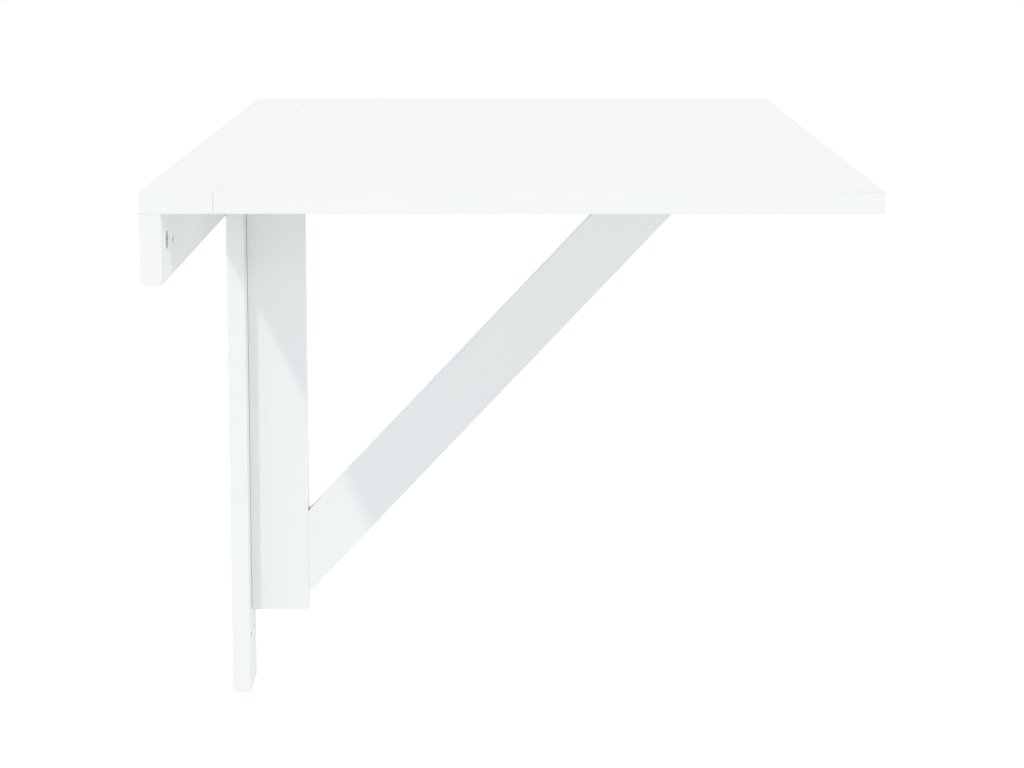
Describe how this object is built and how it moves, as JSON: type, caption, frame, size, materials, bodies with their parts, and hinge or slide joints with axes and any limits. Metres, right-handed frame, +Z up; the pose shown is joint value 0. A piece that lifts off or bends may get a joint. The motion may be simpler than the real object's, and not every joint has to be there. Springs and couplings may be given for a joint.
{
  "type": "wall mounted drop leaf table",
  "caption": "Wall mounted folding table: a fixed shelf and a hinged leaf over a wall rail, held up by a bracket that swings out from a wall board.",
  "frame": {"origin": "centre of the wall rail's back face, on the wall", "axes": "+X points out of the wall, +Y along the wall, +Z up"},
  "size_m": [0.6, 1, 0.561],
  "materials": {
    "white_board": "white melamine facing on chipboard, satin",
    "white_edging": "white plastic edging, satin",
    "zinc": "die-cast zinc, dull",
    "steel": "zinc-plated steel",
    "beech": "plain beech",
    "nylon": "white nylon"
  },
  "bodies": {
    "wall_frame": {"shelf_strip": "white_board", "shelf_edge_bands": "white_edging", "wall_rail": "white_board", "rail_edge_bands": "white_edging", "cam_locks": "zinc", "cam_bolts": "steel", "shelf_dowels": "beech", "wall_board": "white_board", "board_edge_bands": "white_edging", "board_screws": "steel", "leaf_hinge_shelf_plates": "steel", "leaf_hinge_pins": "steel", "leaf_hinge_shelf_screws": "steel", "swing_hinge_board_plates": "steel", "swing_hinge_pins": "steel", "swing_hinge_board_screws": "steel"},
    "leaf": {"leaf_panel": "white_board", "leaf_edge_bands": "white_edging", "leaf_hinge_leaf_plates": "steel", "leaf_hinge_leaf_screws": "steel"},
    "bracket": {"bracket_post": "white_board", "bracket_edge_bands": "white_edging", "bracket_arm": "white_board", "bracket_brace": "white_board", "bracket_dowels": "beech", "frame_screws": "steel", "bearing_pad": "nylon", "pad_screw": "steel", "swing_hinge_post_plates": "steel", "swing_hinge_post_screws": "steel"}
  },
  "joints": [
    {"name": "leaf_hinge", "type": "hinge", "parent": "wall_frame", "child": "leaf", "pos_m": [0.06008, 0, 0.02645], "axis": [0, -1, 0], "range_deg": [0, 0.35]},
    {"name": "bracket_swing", "type": "hinge", "parent": "wall_frame", "child": "bracket", "pos_m": [0.0387, 0.0117, 0], "axis": [0, 0, 1], "range_deg": [0, 90]}
  ]
}
